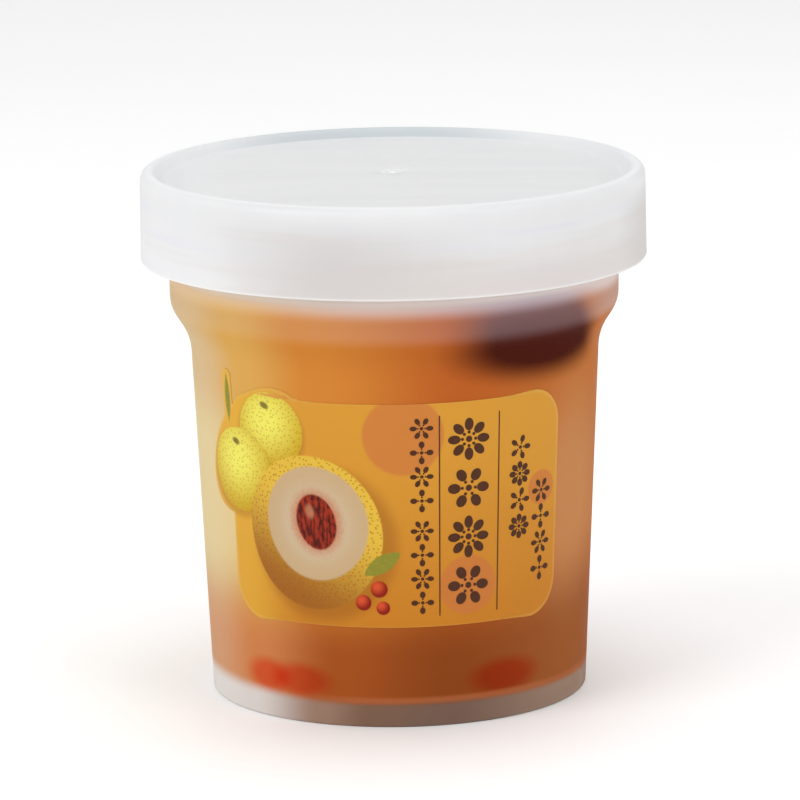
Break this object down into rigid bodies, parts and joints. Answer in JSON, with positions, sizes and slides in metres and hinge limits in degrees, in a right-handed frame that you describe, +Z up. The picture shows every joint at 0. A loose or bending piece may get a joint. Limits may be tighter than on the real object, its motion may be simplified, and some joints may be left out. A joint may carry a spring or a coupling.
{
  "type": "frosted plastic dessert cup",
  "caption": "Frosted round dessert cup with a pulled-in shoulder, a press-on lid with a sunk panel, a wrap label, and a clear amber fruit soup inside",
  "frame": {"origin": "centre of the foot, on the surface that the cup stands on", "axes": "+Z up along the cup's axis, the label's middle faces -Y, +X to the right of the label"},
  "size_m": [0.095, 0.095, 0.0993],
  "materials": {
    "cup": "frosted translucent polypropylene, thin wall",
    "lid": "frosted translucent polypropylene",
    "label": "printed self-adhesive label, satin",
    "soup": "amber liquid seen through the frosted wall",
    "pear": "stewed peeled pear",
    "red_date": "dried red date, wrinkled",
    "goji": "soaked goji berry"
  },
  "bodies": {
    "cup_body": {"cup": "cup", "label": "label", "soup": "soup", "pear": "pear", "red_date": "red_date", "goji_berry_1": "goji", "goji_berry_2": "goji", "goji_berry_3": "goji"},
    "lid_body": {"lid": "lid"}
  },
  "joints": [
    {"name": "lid_lift", "type": "slide", "parent": "cup_body", "child": "lid_body", "axis": [0, 0, 1], "range_m": [0, 0.03]}
  ]
}
